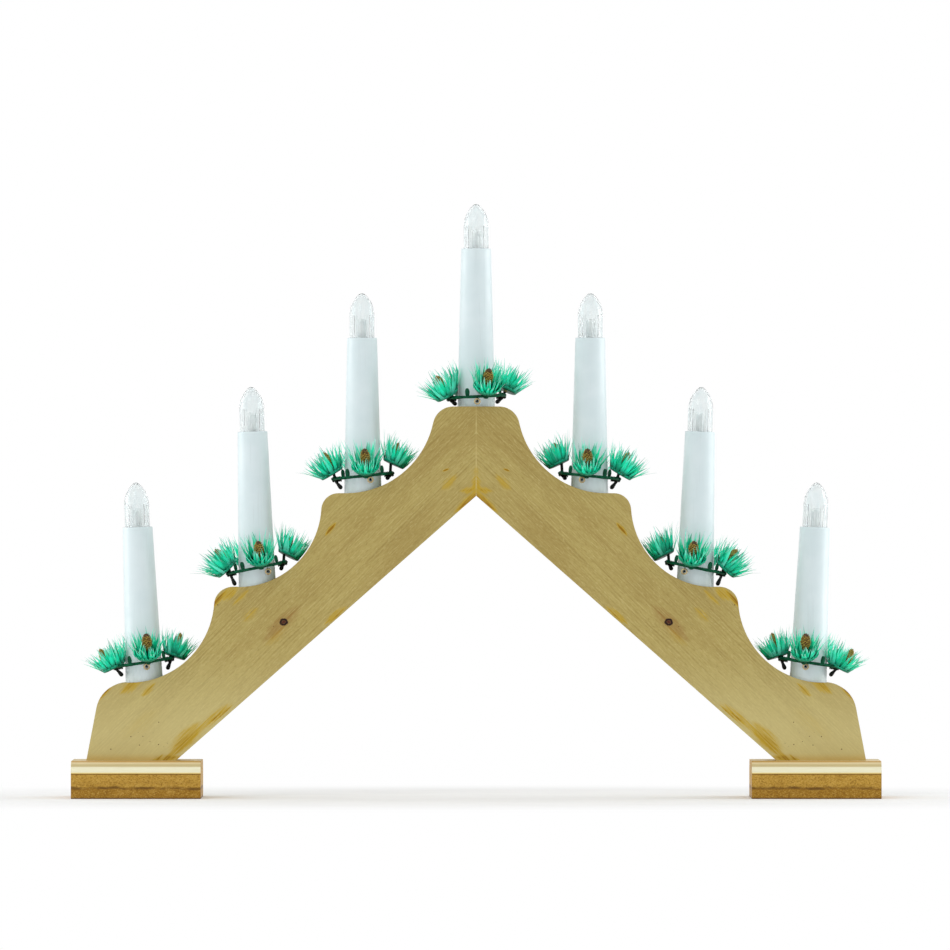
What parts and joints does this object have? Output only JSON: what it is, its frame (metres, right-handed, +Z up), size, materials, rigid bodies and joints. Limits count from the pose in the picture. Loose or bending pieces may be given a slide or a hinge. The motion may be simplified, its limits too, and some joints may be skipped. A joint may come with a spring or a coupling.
{
  "type": "candle arch",
  "caption": "Stepped wooden candle arch on block feet, with screw-in electric candle lamps on white tubes and a green ring of needle sprigs and cones round each.",
  "frame": {"origin": "on the table under the mitre, at the middle of the footprint", "axes": "+Z up, -Y towards the front, +X to the right seen from the front"},
  "size_m": [0.3998, 0.056, 0.2939],
  "materials": {
    "pine_board": "clear-lacquered pine board, satin",
    "foot_wood": "pine block, moulded edges, satin",
    "screw_steel": "zinc plated screw",
    "beech_dowel": "plain beech dowel",
    "staple_steel": "flat wire staple",
    "gland_plastic": "white moulded bush",
    "socket_plastic": "moulded insulating core",
    "contact_brass": "bright rolled brass",
    "wire_cover": "white insulated wire",
    "candle_plastic": "white moulded tube, slight gloss",
    "clear_dome": "clear ribbed plastic dome",
    "cap_metal": "nickel plated brass screw cap",
    "light_stem": "milky light stem",
    "ring_plastic": "dark green moulded ring",
    "needle_plastic": "bright green soft plastic needles",
    "cone_brown": "small brown cone with gold dust on a dark wire"
  },
  "bodies": {
    "arch": {"left_leg": "pine_board", "right_leg": "pine_board", "left_foot": "foot_wood", "right_foot": "foot_wood", "foot_screws": "screw_steel", "mitre_dowels": "beech_dowel", "wire_staples": "staple_steel", "cable_gland": "gland_plastic", "lamp_sockets": "socket_plastic", "socket_contacts": "contact_brass", "wires": "wire_cover", "candle_tube_1": "candle_plastic", "candle_tube_2": "candle_plastic", "candle_tube_3": "candle_plastic", "candle_tube_4": "candle_plastic", "candle_tube_5": "candle_plastic", "candle_tube_6": "candle_plastic", "candle_tube_7": "candle_plastic"},
    "lamp_1": {"lamp_dome_1": "clear_dome", "lamp_cap_1": "cap_metal", "lamp_led_1": "light_stem"},
    "lamp_2": {"lamp_dome_2": "clear_dome", "lamp_cap_2": "cap_metal", "lamp_led_2": "light_stem"},
    "lamp_3": {"lamp_dome_3": "clear_dome", "lamp_cap_3": "cap_metal", "lamp_led_3": "light_stem"},
    "lamp_4": {"lamp_dome_4": "clear_dome", "lamp_cap_4": "cap_metal", "lamp_led_4": "light_stem"},
    "lamp_5": {"lamp_dome_5": "clear_dome", "lamp_cap_5": "cap_metal", "lamp_led_5": "light_stem"},
    "lamp_6": {"lamp_dome_6": "clear_dome", "lamp_cap_6": "cap_metal", "lamp_led_6": "light_stem"},
    "lamp_7": {"lamp_dome_7": "clear_dome", "lamp_cap_7": "cap_metal", "lamp_led_7": "light_stem"},
    "wreath_1": {"wreath_ring_1": "ring_plastic", "wreath_needles_1": "needle_plastic", "wreath_cones_1": "cone_brown"},
    "wreath_2": {"wreath_ring_2": "ring_plastic", "wreath_needles_2": "needle_plastic", "wreath_cones_2": "cone_brown"},
    "wreath_3": {"wreath_ring_3": "ring_plastic", "wreath_needles_3": "needle_plastic", "wreath_cones_3": "cone_brown"},
    "wreath_4": {"wreath_ring_4": "ring_plastic", "wreath_needles_4": "needle_plastic", "wreath_cones_4": "cone_brown"},
    "wreath_5": {"wreath_ring_5": "ring_plastic", "wreath_needles_5": "needle_plastic", "wreath_cones_5": "cone_brown"},
    "wreath_6": {"wreath_ring_6": "ring_plastic", "wreath_needles_6": "needle_plastic", "wreath_cones_6": "cone_brown"},
    "wreath_7": {"wreath_ring_7": "ring_plastic", "wreath_needles_7": "needle_plastic", "wreath_cones_7": "cone_brown"}
  },
  "joints": [
    {"name": "lamp_1_out", "type": "slide", "parent": "arch", "child": "lamp_1", "axis": [-0.0436, 0, 0.999], "range_m": [0, 0.042]},
    {"name": "lamp_2_out", "type": "slide", "parent": "arch", "child": "lamp_2", "axis": [-0.0314, 0, 0.9995], "range_m": [0, 0.042]},
    {"name": "lamp_3_out", "type": "slide", "parent": "arch", "child": "lamp_3", "axis": [-0.0052, 0, 1], "range_m": [0, 0.042]},
    {"name": "lamp_4_out", "type": "slide", "parent": "arch", "child": "lamp_4", "axis": [0, 0, 1], "range_m": [0, 0.042]},
    {"name": "lamp_5_out", "type": "slide", "parent": "arch", "child": "lamp_5", "axis": [0.0052, 0, 1], "range_m": [0, 0.042]},
    {"name": "lamp_6_out", "type": "slide", "parent": "arch", "child": "lamp_6", "axis": [0.0314, 0, 0.9995], "range_m": [0, 0.042]},
    {"name": "lamp_7_out", "type": "slide", "parent": "arch", "child": "lamp_7", "axis": [0.0436, 0, 0.999], "range_m": [0, 0.042]},
    {"name": "wreath_1_lift", "type": "slide", "parent": "arch", "child": "wreath_1", "axis": [-0.0436, 0, 0.999], "range_m": [0, 0.112]},
    {"name": "wreath_2_lift", "type": "slide", "parent": "arch", "child": "wreath_2", "axis": [-0.0314, 0, 0.9995], "range_m": [0, 0.112]},
    {"name": "wreath_3_lift", "type": "slide", "parent": "arch", "child": "wreath_3", "axis": [-0.0052, 0, 1], "range_m": [0, 0.112]},
    {"name": "wreath_4_lift", "type": "slide", "parent": "arch", "child": "wreath_4", "axis": [0, 0, 1], "range_m": [0, 0.112]},
    {"name": "wreath_5_lift", "type": "slide", "parent": "arch", "child": "wreath_5", "axis": [0.0052, 0, 1], "range_m": [0, 0.112]},
    {"name": "wreath_6_lift", "type": "slide", "parent": "arch", "child": "wreath_6", "axis": [0.0314, 0, 0.9995], "range_m": [0, 0.112]},
    {"name": "wreath_7_lift", "type": "slide", "parent": "arch", "child": "wreath_7", "axis": [0.0436, 0, 0.999], "range_m": [0, 0.112]}
  ]
}
